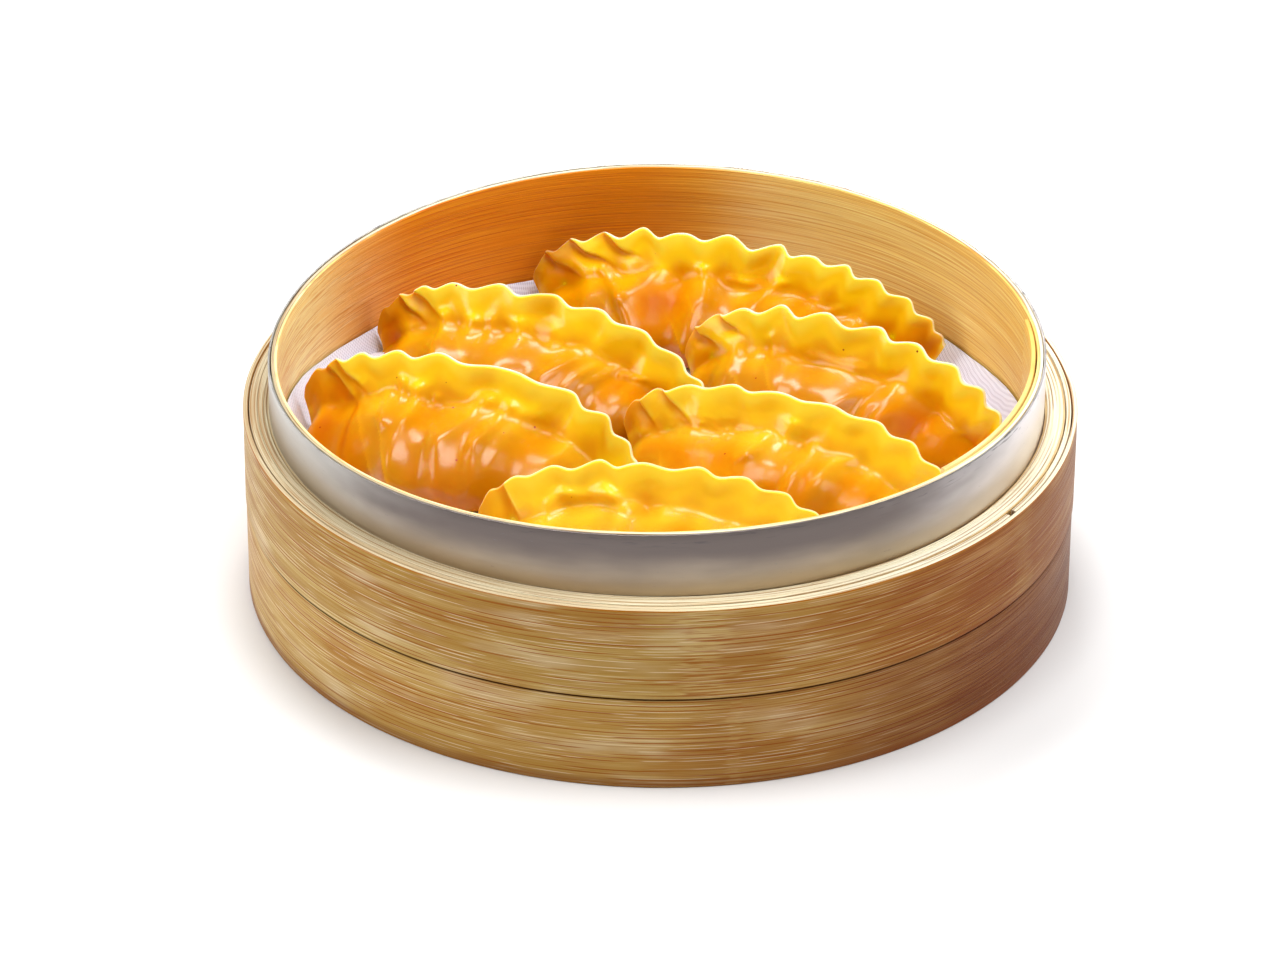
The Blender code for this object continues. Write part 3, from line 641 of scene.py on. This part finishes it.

# Each dumpling's own sizes. The first ones, up to its seed, are those of its solid. crests are the
# ruffles' places along the seal and rises their heights. A pleat is the place of its edge at the
# top, its place at the bottom and how far up the skin that is. A fold is a ridge of the steamed
# skin: its two ends as shares along and up, its half width and its height. Each of the hollows
# is its place, its two half widths, its depth and how much painted shade it takes, darker
# orange with the filling showing through. Blisters are a place and two half widths, and
# paleness says how far the dough's colour leans to a paler yellow.
DUMPLINGS = {
    "dumpling_back": dict(
        x=20.5, y=67.7, turn=-18.8, length=113.8, crest=28.6, left_end=7.0, right_end=8.0,
        front=13.6, back=10.5, lean=15.0, ruffle=1.5, seed=11,
        crests=(0.11, 0.205, 0.285, 0.365, 0.43, 0.49, 0.55, 0.6, 0.655, 0.715, 0.79, 0.87, 0.94),
        rises=(0.6, 0.6, 0.7, 1.2, 0.4, 1.2, 1.1, 0.4, 0.9, 0.65, 0.7, 0.6, 0.5),
        pleats=((0.105, 0.21, 0.62), (0.2, 0.29, 0.72), (0.285, 0.34, 0.82)), pleat_depth=2.0,
        folds=(
            (0.27, 0.66, 0.31, 0.45, 1.6, 1.5), (0.31, 0.45, 0.34, 0.28, 1.4, 1.2),
            (0.315, 0.47, 0.385, 0.64, 2.0, 1.3), (0.46, 0.74, 0.475, 0.5, 1.1, 1.0),
            (0.50, 0.68, 0.54, 0.68, 1.2, 0.8), (0.57, 0.74, 0.55, 0.54, 1.2, 1.0),
            (0.605, 0.56, 0.62, 0.4, 1.8, 1.2), (0.665, 0.58, 0.68, 0.64, 1.2, 0.8),
        ),
        hollows=(
            (0.17, 0.55, 9.0, 6.0, 0.6, 0.8), (0.39, 0.43, 6.0, 4.0, 1.6, 1.2),
            (0.305, 0.76, 2.5, 4.0, 0.6, 0.5), (0.42, 0.62, 3.5, 6.0, 0.8, 0.5),
            (0.49, 0.7, 4.0, 3.0, 0.8, 0.5), (0.64, 0.56, 5.0, 4.0, 0.8, 0.7),
            (0.79, 0.45, 13.0, 5.0, 0.8, 0.9), (0.9, 0.66, 12.0, 10.0, 0.3, 1.5),
            (0.44, 0.45, 20.0, 8.0, 0.1, 0.35),
        ),
        blisters=(), paleness=0.0,
    ),
    "dumpling_left_back": dict(
        x=-30.4, y=37.1, turn=-24.8, length=95.0, crest=28.8, left_end=7.0, right_end=8.0,
        front=17.8, back=9.6, lean=15.0, ruffle=1.1, seed=12,
        crests=(0.08, 0.17, 0.26, 0.335, 0.435, 0.515, 0.595, 0.69, 0.79, 0.89),
        rises=(0.5, 0.6, 0.6, 0.7, 1.2, 1.1, 0.9, 0.7, 0.7, 0.9),
        pleats=((0.165, 0.25, 0.68), (0.225, 0.31, 0.7)), pleat_depth=1.8,
        folds=(
            (0.31, 0.74, 0.305, 0.52, 1.3, 1.1), (0.385, 0.7, 0.375, 0.62, 1.6, 1.3),
            (0.42, 0.72, 0.425, 0.58, 1.2, 0.9), (0.475, 0.76, 0.485, 0.6, 1.2, 0.9),
            (0.52, 0.72, 0.535, 0.64, 2.0, 1.2), (0.6, 0.56, 0.575, 0.42, 1.3, 1.0),
            (0.645, 0.56, 0.635, 0.42, 1.0, 1.0), (0.68, 0.6, 0.665, 0.45, 1.1, 1.0),
            (0.71, 0.5, 0.7, 0.58, 0.9, 0.8), (0.7, 0.58, 0.75, 0.62, 0.9, 0.8),
            (0.72, 0.3, 0.7, 0.4, 1.2, 0.8),
        ),
        hollows=(
            (0.14, 0.5, 9.0, 8.0, 0.6, 1.1), (0.345, 0.62, 2.5, 5.0, 0.8, 0.4),
            (0.45, 0.6, 3.0, 5.0, 0.8, 0.4), (0.56, 0.58, 3.0, 4.0, 0.8, 0.4),
            (0.61, 0.48, 3.0, 4.0, 0.8, 0.5), (0.765, 0.5, 8.0, 3.5, 1.2, 1.2),
        ),
        blisters=(), paleness=0.05,
    ),
    "dumpling_right_mid": dict(
        x=47.4, y=21.3, turn=-28.6, length=92.2, crest=30.0, left_end=8.0, right_end=9.0,
        front=13.7, back=8.8, lean=14.0, ruffle=1.3, seed=13,
        crests=(0.1, 0.2, 0.29, 0.385, 0.47, 0.55, 0.625, 0.715, 0.8, 0.885),
        rises=(0.5, 0.4, 0.5, 1.3, 1.1, 1.1, 0.8, 0.9, 0.9, 0.7),
        pleats=((0.1, 0.205, 0.68), (0.22, 0.28, 0.8)), pleat_depth=1.8,
        folds=(
            (0.27, 0.62, 0.275, 0.5, 2.0, 1.1), (0.32, 0.6, 0.325, 0.48, 2.8, 0.9),
            (0.36, 0.76, 0.365, 0.66, 1.2, 0.6), (0.45, 0.68, 0.55, 0.68, 1.0, 0.5),
            (0.575, 0.52, 0.545, 0.4, 1.3, 0.9), (0.61, 0.46, 0.615, 0.38, 1.1, 1.0),
            (0.65, 0.42, 0.66, 0.28, 1.6, 1.3), (0.63, 0.62, 0.635, 0.58, 1.2, 0.7),
            (0.74, 0.5, 0.755, 0.4, 1.2, 0.8), (0.8, 0.46, 0.82, 0.5, 1.0, 0.7),
        ),
        hollows=(
            (0.15, 0.55, 8.0, 5.0, 0.4, 0.6), (0.41, 0.62, 5.0, 4.5, 1.0, 0.7),
            (0.58, 0.6, 4.0, 4.0, 0.6, 0.5), (0.705, 0.44, 7.0, 6.0, 1.8, 1.5),
            (0.86, 0.36, 9.0, 6.0, 0.8, 1.1), (0.48, 0.48, 6.0, 4.0, -0.6, -0.3),
            (0.93, 0.6, 8.0, 8.0, 0.2, 0.7),
        ),
        blisters=(), paleness=0.05,
    ),
    "dumpling_left_front": dict(
        x=-48.0, y=0.7, turn=-20.5, length=90.8, crest=29.4, left_end=10.0, right_end=8.0,
        front=20.4, back=10.5, lean=15.0, ruffle=1.0, seed=14,
        crests=(0.12, 0.21, 0.29, 0.375, 0.455, 0.56, 0.69, 0.785, 0.885),
        rises=(0.6, 0.7, 0.9, 1.0, 1.2, 0.3, 1.1, 1.3, 0.8),
        pleats=((0.17, 0.27, 0.58), (0.21, 0.3, 0.66)), pleat_depth=1.5,
        folds=(
            (0.35, 0.64, 0.365, 0.5, 1.8, 1.3), (0.365, 0.5, 0.42, 0.52, 1.9, 1.3),
            (0.42, 0.52, 0.42, 0.74, 1.3, 1.3), (0.385, 0.78, 0.38, 0.62, 1.0, 0.8),
            (0.455, 0.68, 0.45, 0.56, 0.9, 0.9), (0.4, 0.36, 0.405, 0.31, 2.2, 1.2),
            (0.455, 0.44, 0.46, 0.41, 1.6, 0.8), (0.46, 0.22, 0.47, 0.18, 2.0, 1.0),
            (0.54, 0.72, 0.505, 0.44, 1.8, 1.5), (0.505, 0.44, 0.53, 0.26, 2.0, 1.4),
            (0.59, 0.73, 0.58, 0.46, 1.3, 1.1), (0.58, 0.46, 0.61, 0.28, 1.3, 1.0),
            (0.62, 0.68, 0.64, 0.36, 2.3, 1.3), (0.745, 0.56, 0.75, 0.52, 1.2, 0.9),
            (0.78, 0.5, 0.775, 0.44, 1.2, 0.8),
        ),
        hollows=(
            (0.2, 0.36, 9.0, 9.0, 0.8, 1.2), (0.445, 0.54, 4.0, 4.5, 1.2, 0.8),
            (0.55, 0.5, 3.0, 4.5, 1.2, 0.5), (0.69, 0.48, 7.0, 5.0, 0.8, 0.6),
            (0.27, 0.45, 1.0, 7.0, 0.7, 0.8), (0.5, 0.08, 16.0, 3.0, 0.5, 0.8),
            (0.32, 0.3, 5.0, 6.0, 0.6, 0.6),
        ),
        blisters=(), paleness=0.1,
    ),
    "dumpling_right_front": dict(
        x=31.7, y=-11.6, turn=-22.4, length=87.8, crest=26.9, left_end=9.0, right_end=8.0,
        front=16.2, back=9.0, lean=14.0, ruffle=0.9, seed=15,
        crests=(0.1, 0.21, 0.31, 0.41, 0.49, 0.57, 0.67, 0.76, 0.87),
        rises=(0.6, 0.9, 0.5, 1.0, 0.6, 0.5, 0.9, 1.0, 1.0),
        pleats=((0.14, 0.2, 0.6), (0.235, 0.31, 0.64)), pleat_depth=1.4,
        folds=(
            (0.485, 0.62, 0.47, 0.5, 1.2, 1.3), (0.47, 0.5, 0.445, 0.45, 1.1, 1.1),
            (0.52, 0.78, 0.515, 0.58, 1.3, 1.0), (0.575, 0.42, 0.58, 0.3, 1.4, 1.3),
            (0.57, 0.62, 0.575, 0.57, 1.4, 0.8), (0.64, 0.44, 0.66, 0.4, 2.4, 1.3),
            (0.655, 0.6, 0.63, 0.54, 1.2, 0.9), (0.75, 0.42, 0.755, 0.37, 1.2, 0.9),
            (0.53, 0.42, 0.53, 0.36, 1.8, 0.9),
        ),
        hollows=(
            (0.26, 0.42, 14.0, 4.0, 0.8, 1.0), (0.43, 0.42, 7.0, 3.5, 0.8, 0.8),
            (0.56, 0.26, 9.0, 4.0, 0.8, 0.8), (0.61, 0.46, 2.5, 6.0, 1.2, 0.9),
            (0.72, 0.44, 6.0, 3.5, 0.8, 0.9), (0.36, 0.66, 6.0, 3.0, 0.3, 0.5),
        ),
        blisters=(0.36, 0.58, 0.12, 0.16), paleness=0.25,
    ),
    "dumpling_front": dict(
        x=0.0, y=-47.8, turn=-9.0, length=91.0, crest=27.2, left_end=7.0, right_end=7.0,
        front=19.0, back=10.5, lean=13.0, ruffle=0.95, seed=16,
        crests=(0.12, 0.215, 0.315, 0.41, 0.48, 0.555, 0.635, 0.725, 0.81, 0.9),
        rises=(0.5, 0.5, 0.8, 1.3, 0.6, 1.0, 0.9, 0.9, 0.8, 0.6),
        pleats=((0.18, 0.2, 0.58),), pleat_depth=1.6,
        folds=(
            (0.29, 0.68, 0.33, 0.76, 1.5, 0.9), (0.33, 0.76, 0.42, 0.74, 1.5, 0.9),
            (0.42, 0.74, 0.44, 0.66, 1.8, 1.1), (0.36, 0.6, 0.38, 0.5, 3.2, 1.1),
            (0.46, 0.62, 0.44, 0.5, 1.6, 1.1), (0.46, 0.62, 0.49, 0.48, 1.4, 1.0),
            (0.51, 0.62, 0.51, 0.52, 1.1, 0.8), (0.28, 0.6, 0.275, 0.56, 1.4, 0.8),
        ),
        hollows=(
            (0.56, 0.48, 6.0, 3.5, 0.8, 0.8), (0.35, 0.68, 5.0, 2.0, 0.6, 0.1),
            (0.42, 0.56, 2.0, 4.0, 0.8, 0.4), (0.2, 0.45, 8.0, 5.0, 0.4, 0.6),
        ),
        blisters=(), paleness=0.45,
    ),
}


def signed_power(value, power):
    """A power of a value's size, with the value's sign."""
    return math.copysign(abs(value) ** power, value)


class Dumpling:
    """One half-moon, in mm: X along its length, Z up from the cloth, its crest over the origin."""

    def __init__(self, sizes):
        self.half = sizes["length"] / 2
        self.sizes = sizes
        self.seed = sizes["seed"]
        self.crests = sizes["crests"]
        rises = sizes["rises"]
        self.rises = (rises[0], *rises, rises[-1], rises[-1])
        self.phase = random.Random(self.seed).uniform(0.0, 1.0)

    def seal_edge(self, along):
        """A point of the seal's outer edge, not yet ruffled, at a share along from the left end."""
        angle = math.pi * along
        arch = SEAL_ARCH_LEFT * (1 - along) + SEAL_ARCH_RIGHT * along
        rise = max(0.0, math.sin(angle)) ** arch
        end = self.sizes["left_end"] * (1 - along) + self.sizes["right_end"] * along
        x = -self.half * signed_power(math.cos(angle), SEAL_END_BLUNTNESS)
        return Vector((x, 0.0, end + (self.sizes["crest"] - end) * rise))

    def fold(self, along):
        """The matching point of the fold line, on the cloth, spread like a fan towards the seal."""
        cosine = math.cos(math.pi * along)
        x = -self.half * cosine * (FOLD_SHARE_MIDDLE + FOLD_SHARE_ENDS * cosine * cosine)
        return Vector((x, -self.sizes["lean"] * self.swell(along), FOLD_HEIGHT))

    def swell(self, along):
        """How full the belly is, from 0 at its ends to 1 in the middle."""
        return max(0.0, math.sin(math.pi * along)) ** BELLY_END_POWER

    def turns(self, along):
        """Turns of the ruffles' wave since the first crest: a whole number at each crest."""
        number = sum(crest < along for crest in self.crests[1:-1])
        start, end = self.crests[number : number + 2]
        return number + (along - start) / (end - start)

    def ruffle(self, along):
        """Height of the ruffles' wave at a share of the seal's length, above 0 at the crests."""
        turns = self.turns(along)
        number = max(-1, math.floor(turns))
        blend = smooth_step(0.0, 1.0, turns - number)
        size = self.rises[number + 1] * (1 - blend) + self.rises[number + 2] * blend
        turns += RUFFLE_SKEW * (1 - math.cos(2 * math.pi * turns))
        return self.sizes["ruffle"] * size * math.cos(2 * math.pi * turns)

    def pleat(self, along, share):
        """How far the pleats step back, how many lie in front, and how far off their edges are."""
        total = 0.0
        behind = 0.0
        to_edge = NO_PLEAT
        for top, low, low_share in self.sizes["pleats"]:
            left = top + (low - top) * (1.0 - share) / (1.0 - low_share) - along
            step = smooth_step(-PLEAT_EDGE, PLEAT_EDGE, left)
            step *= smooth_step(low_share - 0.1, low_share + 0.05, share)
            returned = PLEAT_RETURN * smooth_step(0.0, PLEAT_WIDTH, left)
            total += self.sizes["pleat_depth"] * step * (1.0 - returned)
            # Behind a pleat the facets are shaded, most near its edge: painted shadow.
            near_edge = smooth_step(PLEAT_SHADE_WIDTH, 0.0, left)
            behind += step * (PLEAT_SHADE + (1.0 - PLEAT_SHADE) * near_edge)
            if left < PLEAT_OVERLAP:
                faded = PLEAT_FADE * (1.0 - smooth_step(low_share, low_share + 0.15, share))
                to_edge = min(to_edge, self.reach(abs(left)) + faded)
        return total, behind, to_edge

    def reach(self, along):
        """A share along as a length over the skin."""
        return along * 2 * self.half * SKIN_REACH

    @lru_cache(maxsize=None)
    def section(self, along):
        """What every point of one section shares."""
        fold = self.fold(along)
        line = self.seal_edge(along) - fold
        ends = min(1.0, 6.0 * along, 6.0 * (1.0 - along))
        gathers = GATHERS_PER_RUFFLE * self.turns(along) + self.phase
        gather = ends * math.sin(2 * math.pi * gathers)
        return fold, line, line.length, self.swell(along), gather, self.ruffle(along)

    def relief(self, along, share, front):
        """Height of the lumps, folds and hollows at a place, and the painted shade it takes."""
        across = self.reach(along)
        up = share * SKIN_HEIGHT
        seed = self.seed + (0.0 if front else 7.0)

        def lumps(wide, tall):
            return noise.noise(Vector((across / wide, up / tall, seed)))

        height = LUMP_HEIGHT * lumps(*LUMP_SIZE)
        height += SMALL_LUMP_HEIGHT * lumps(*SMALL_LUMP_SIZE) - LUMPS_SUNK
        # The left end's upper part is drawn smooth; a deep dip between lumps takes painted shade.
        drawn = smooth_step(0.36, 0.2, along) * smooth_step(0.35, 0.55, share)
        height *= 1.0 - LEFT_END_SMOOTHED * drawn
        hollow = max(0.0, -height - DIP_SEEN_FROM) * DIP_SHADE
        if not front:
            return height, hollow
        for start, start_share, end, end_share, wide, high in self.sizes["folds"]:
            base = Vector((self.reach(start), start_share * SKIN_HEIGHT))
            line = Vector((self.reach(end), end_share * SKIN_HEIGHT)) - base
            spot = Vector((across, up)) - base
            if abs(spot.x) < FAR_FROM_FOLD:
                near = max(0.0, min(1.0, spot.dot(line) / line.length_squared))
                off = (spot - line * near).length_squared / (FOLD_SPREAD * wide) ** 2
                height += FOLD_GAIN * high * math.exp(-off)
        # The hollows dip the skin and take painted shade, with the filling showing through.
        for place, place_share, wide, tall, deep, shade_tint in self.sizes["hollows"]:
            dx = (across - self.reach(place)) / wide
            dy = (up - place_share * SKIN_HEIGHT) / tall
            dip = math.exp(-(dx * dx + dy * dy))
            height -= deep * dip
            hollow += shade_tint * dip
        if self.sizes["blisters"]:
            place, place_share, wide, tall = self.sizes["blisters"]
            near = math.exp(-(((along - place) / wide) ** 2) - ((share - place_share) / tall) ** 2)
            height += BLISTER_HEIGHT * near * max(0.0, lumps(BLISTER_SIZE, BLISTER_SIZE))
        return height, hollow

    def point(self, along, turn):
        """A point of the skin at an angle round a section, how far it lies from the seal's edge or
        from a pleat's, and how much painted shade it takes."""
        fold, line, chord, swell, gather, lift = self.section(round(along, 7))
        share = (1.0 - math.cos(turn)) / 2
        front = math.sin(turn) >= 0.0
        tilt = math.atan2(line.y, line.z) * smooth_step(0.0, 0.6, share)
        outward = Vector((0.0, -math.cos(tilt), math.sin(tilt)))
        seal_share = SEAL_WIDTH / max(chord, SEAL_LEAST_CHORD)
        seal_base = 1.0 - seal_share
        # The belly rises from the fold and falls to the seal, where only the skin is left. Where it
        # ends wanders along the seal.
        spot = Vector((along * 2 * self.half / SEAL_WANDER_PITCH, self.seed, 0.0))
        belly_end = seal_base + 0.05 + SEAL_WANDER * noise.noise(spot)
        rise = math.sqrt(1.0 - (1.0 - min(share / BELLY_RISE_SHARE, 1.0)) ** 2)
        fall = 1.0 - smooth_step(BELLY_FALL_SHARE, belly_end, share)
        thin = math.sqrt(min(1.0, (1.0 - share) / 0.02)) * min(1.0, math.sqrt(share / 0.05))
        depth = self.sizes["front" if front else "back"] * swell
        fall += (fall**BELLY_FULLNESS - fall) * smooth_step(0.0, 0.5, fall)
        bulge = depth * rise * fall + SEAL_THICKNESS / 2 * thin
        bulge += GATHER_DEPTH * gather * rise * smooth_step(0.9, 0.5, share)
        # On the seal the back follows the front's relief, so that the skin keeps its thickness.
        height, hollow = self.relief(along, share, True)
        if not front:
            on_seal = smooth_step(seal_base - 0.15, seal_base + 0.02, share)
            own_height, hollow = self.relief(along, share, False)
            height = own_height * (1 - on_seal) - height * on_seal
        bulge += height * rise * swell * smooth_step(0.98, 0.8, share)
        place = fold + line * share + outward * (bulge if front else -bulge)
        # The seal's ruffles and pleats grow towards its edge and fade out at its two ends.
        held = min(1.0, SEAL_ENDS_HELD * along, SEAL_ENDS_HELD * (1.0 - along))
        loose = smooth_step(1.0 - SEAL_LOOSE_SHARE * seal_share, 1.0, share) * held
        back, behind, to_pleat = self.pleat(along, share)
        place += line.normalized() * RUFFLE_STRETCH * lift * loose
        place -= outward * (RUFFLE_SWAY * lift + back) * loose
        place.z = max(place.z - FLATTENED_DEPTH, 0.0)
        # The dough's colour goes by the distance from an edge, the seal's or a pleat's. Its pale
        # rim is partly the thin dough's own colour and partly a painted highlight of the edge. The
        # facets behind a pleat and the left end are counted with the hollows, as painted shade.
        from_edge = (1.0 - share) * chord
        from_edge += CREST_TINT * lift * smooth_step(0.0, 3.0, from_edge)
        from_edge = min(from_edge, 0.5 + 1.4 * to_pleat)
        left_end = smooth_step(0.24, 0.06, along)
        hollow += min(1.0, PLEAT_BEHIND_SHADE * behind + LEFT_END_SHADE * left_end)
        return place, from_edge, hollow


dough, shader, place = start_material("dumpling_skin", 0.3)
shader.inputs["Specular IOR Level"].default_value = 0.02
shader.inputs["Coat IOR"].default_value = 1.39
shader.inputs["Coat Roughness"].default_value = 0.2
shader.inputs["Subsurface Weight"].default_value = 0.6
shader.inputs["Subsurface Radius"].default_value = (1.0, 0.4, 0.1)
shader.inputs["Subsurface Scale"].default_value = 3.5 * MM
SKIN_VALUES = ("from_edge", "hollow", "paleness")
blank = Wire(dough.node_tree)
from_edge, hollow, paleness = (
    blank.add("Attribute", {"attribute_name": kind}, output=2) for kind in SKIN_VALUES
)
cloud = place.grain((0.08, 0.08, 0.08), detail=3.0)
depth = from_edge + (cloud - 0.5) * from_edge.step(1.0, 6.0) * 5.0
# The palest cream at the very edge is partly the thin dough's own colour, partly a painted
# highlight.
tone = colour(255, 248, 204)
# From the seal's edge down, in mm: where each colour starts and where it is full.
for start, full, deeper in (
    (0.05, 0.5, colour(248, 220, 59)),
    (0.8, 5.0, colour(246, 198, 18)),
    (6.0, 10.0, colour(226, 160, 3)),
    (9.5, 16.0, colour(192, 124, 1)),
    (14.0, 34.0, colour(186, 96, 1)),
):
    tone = depth.step(start, full).mix(tone, deeper)
tone = (paleness * (1 - depth.step(8.0, 20.0) * 0.8)).mix(tone, colour(246, 212, 59))
# Hollows, dips, facets behind a pleat and the left end turn deeper orange: painted shade.
tone = (hollow.step(0.05, 1.0) * 0.7).mix(tone, colour(205, 121, 1))
tone = (hollow.step(0.7, 1.8) * 0.8).mix(tone, colour(182, 89, 1))
specks = place.add("TexVoronoi", None, {"Vector": place, "Scale": 0.14, "Randomness": 1.0})
tone = (1 - specks.step(0.03, 0.05)).mix(tone, colour(160, 50, 14))
feed(tone, shader, "Base Color")
feed(place.grain((0.25, 0.25, 0.25)) * 0.2 + 0.3, shader, "Roughness")
feed(1 - hollow.step(0.1, 0.8) * 0.85, shader, "Coat Weight")
bump(place.grain((0.5, 0.5, 0.5), detail=3.0), shader, distance=0.08)

for name, sizes in DUMPLINGS.items():
    form = Dumpling(sizes)
    shape = bmesh.new()
    layers = [shape.verts.layers.float.new(kind) for kind in SKIN_VALUES]
    bmesh.ops.create_uvsphere(shape, u_segments=SIDES, v_segments=RINGS, radius=1.0)
    for point in shape.verts:
        along = math.acos(max(-1.0, min(1.0, point.co.z))) / math.pi
        at_end = math.hypot(point.co.x, point.co.y) < 1e-4
        angle = math.pi / 2 if at_end else math.atan2(point.co.y, point.co.x) % (2 * math.pi)
        spot, edge_distance, hollow_depth = form.point(along, angle)
        point.co = spot * MM
        for layer, value in zip(layers, (edge_distance, hollow_depth, sizes["paleness"])):
            point[layer] = value
    turned = Matrix.Rotation(math.radians(sizes["turn"]), 4, "Z")
    placed = Matrix.Translation(Vector((sizes["x"], sizes["y"], REST_HEIGHT)) * MM) @ turned
    bmesh.ops.transform(shape, matrix=placed, verts=shape.verts)
    piece = add_piece(name + "_skin", shape, dough)
    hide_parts(name)

# The studio: a pale floor, a soft light above, one behind and one at each side, a weak one low in
# front, and the camera at the photograph's angle.
floor_material, shader, place = start_material("floor", 0.9)
shader.inputs["Base Color"].default_value = (0.85, 0.85, 0.85, 1.0)
shape = bmesh.new()
bmesh.ops.create_grid(shape, x_segments=1, y_segments=1, size=4.0)
floor = add_piece("floor", shape, floor_material)


def soft_light(name, place, size, power, target=(0.0, 0.0, 0.04)):
    """A square of light, size in metres and power in watts, turned to the basket."""
    data = bpy.data.lights.new(name, "AREA")
    data.shape = "RECTANGLE"
    data.size, data.size_y = size
    data.energy = power
    lamp = bpy.data.objects.new(name, data)
    lamp.location = place
    lamp.rotation_euler = (Vector(target) - Vector(place)).to_track_quat("-Z", "Y").to_euler()
    bpy.context.scene.collection.objects.link(lamp)


soft_light("top", (0.12, -0.05, 1.15), size=(0.5, 0.6), power=9.3)
soft_light("back", (-0.15, 0.6, 1.0), size=(0.55, 0.32), power=7.0)
soft_light("left", (-1.1, -0.1, 0.7), size=(0.7, 0.9), power=10.0)
soft_light("front", (0.0, -1.3, 0.2), size=(1.8, 0.3), power=1.1, target=(0.0, 0.0, 0.02))
soft_light("right", (1.0, -0.3, 0.75), size=(0.7, 0.9), power=6.8)
world = bpy.data.worlds.new("studio")
world.use_nodes = True
background = world.node_tree.nodes["Background"]
background.inputs["Color"].default_value = (1.0, 1.0, 1.0, 1.0)
background.inputs["Strength"].default_value = 0.13
bpy.context.scene.world = world
bpy.context.scene.view_settings.view_transform = "Standard"

CAMERA_PLACE = (-0.00498, -1.30035, 0.77312)
CAMERA_PITCH = 60.10
CAMERA_ROLL = 0.284
camera_data = bpy.data.cameras.new("camera")
camera_data.lens = 166.0
camera_data.sensor_width = 36.0
camera = bpy.data.objects.new("camera", camera_data)
camera.matrix_world = (
    Matrix.Translation(CAMERA_PLACE)
    @ Matrix.Rotation(math.radians(CAMERA_PITCH), 4, "X")
    @ Matrix.Rotation(math.radians(CAMERA_ROLL), 4, "Z")
)
bpy.context.scene.collection.objects.link(camera)
bpy.context.scene.camera = camera
